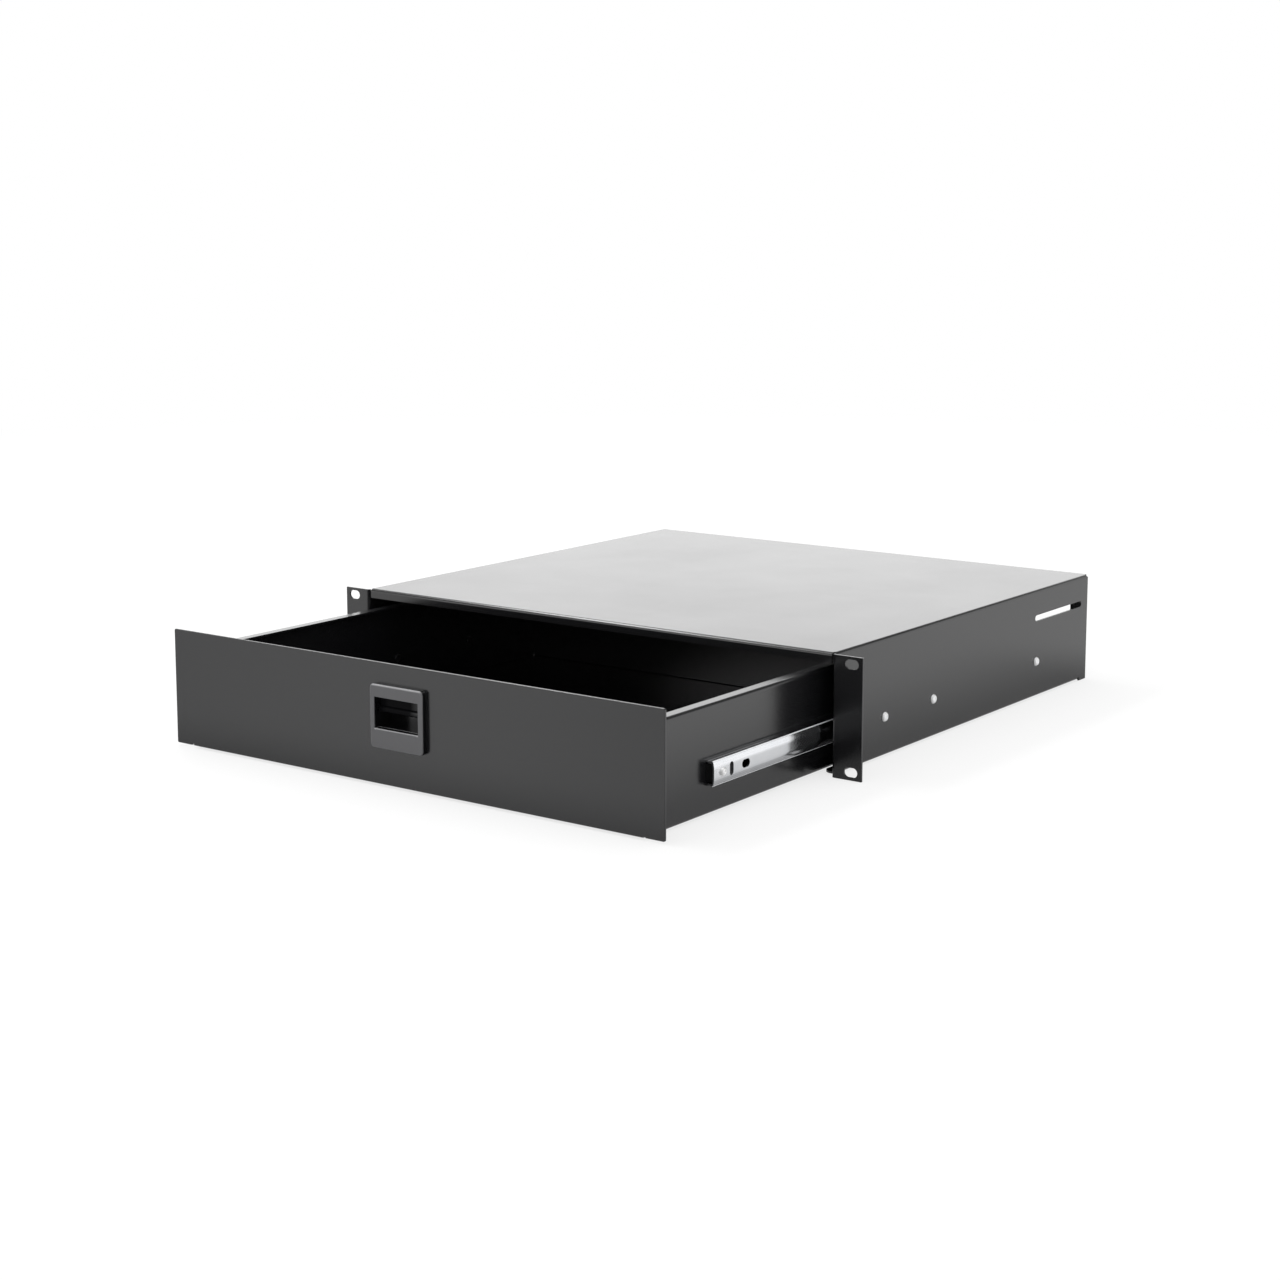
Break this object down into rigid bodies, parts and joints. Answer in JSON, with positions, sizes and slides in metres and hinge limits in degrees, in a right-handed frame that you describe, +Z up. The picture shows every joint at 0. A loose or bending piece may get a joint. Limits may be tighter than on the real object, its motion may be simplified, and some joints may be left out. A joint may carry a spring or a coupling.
{
  "type": "rack drawer",
  "caption": "Black folded-steel rack drawer: open-fronted case with slotted rack ears, ball-bearing slides and a sliding tray with a finger latch.",
  "frame": {"origin": "centre of the rack hole pattern, on the back face of the rack ears", "axes": "+X to the right seen from the front, +Y into the rack, +Z up; the drawer opens along -Y"},
  "size_m": [0.4826, 0.6144, 0.088],
  "materials": {
    "black_powder_coat": "fine satin powder coat",
    "zinc_slide_steel": "bright zinc-plated",
    "steel_rivet": "zinc-plated",
    "ball_chrome": "polished",
    "cage_steel": "zinc-plated",
    "spring_steel": "drawn wire",
    "black_plastic": "moulded, satin",
    "latch_plastic": "moulded, semi-gloss",
    "rubber_bumper": "matt"
  },
  "bodies": {
    "case": {"case_shell": "black_powder_coat", "rear_tie_bar": "black_powder_coat", "tie_bar_rivets": "steel_rivet", "slide_case_member_left": "zinc_slide_steel", "slide_case_rivets_left": "steel_rivet", "slide_bumper_left": "rubber_bumper", "slide_case_member_right": "zinc_slide_steel", "slide_case_rivets_right": "steel_rivet", "slide_bumper_right": "rubber_bumper"},
    "cage_left": {"ball_cage_left": "cage_steel", "slide_balls_left": "ball_chrome"},
    "cage_right": {"ball_cage_right": "cage_steel", "slide_balls_right": "ball_chrome"},
    "drawer": {"drawer_tray": "black_powder_coat", "latch_housing": "black_plastic", "latch_pivot_pin": "steel_rivet", "latch_spring": "spring_steel", "slide_drawer_member_left": "zinc_slide_steel", "slide_spacers_left": "black_plastic", "slide_drawer_rivets_left": "steel_rivet", "slide_drawer_member_right": "zinc_slide_steel", "slide_spacers_right": "black_plastic", "slide_drawer_rivets_right": "steel_rivet"},
    "paddle": {"latch_paddle": "latch_plastic"},
    "bolt": {"latch_bolt": "latch_plastic"}
  },
  "joints": [
    {"name": "drawer_slide", "type": "slide", "parent": "case", "child": "drawer", "axis": [0, -1, 0], "range_m": [-0.2015, 0.0235]},
    {"name": "cage_slide_left", "type": "slide", "parent": "case", "child": "cage_left", "axis": [0, -1, 0], "range_m": [-0.101, 0.012]},
    {"name": "cage_slide_right", "type": "slide", "parent": "case", "child": "cage_right", "axis": [0, -1, 0], "range_m": [-0.101, 0.012]},
    {"name": "paddle_hinge", "type": "hinge", "parent": "drawer", "child": "paddle", "pos_m": [0, -0.2018, 0.0222], "axis": [-1, 0, 0], "range_deg": [0, 18.7]},
    {"name": "bolt_slide", "type": "slide", "parent": "drawer", "child": "bolt", "axis": [0, 0, -1], "range_m": [0, 0.00465], "stiffness_N_per_m": 580, "springref_m": -0.005, "deforming": ["latch_spring"]}
  ],
  "couplings": [
    {"joint": "cage_slide_left", "follows": "drawer_slide", "ratio": 0.5},
    {"joint": "cage_slide_right", "follows": "drawer_slide", "ratio": 0.5},
    {"joint": "paddle_hinge", "follows": "bolt_slide", "rad_per_m": 69.75}
  ]
}
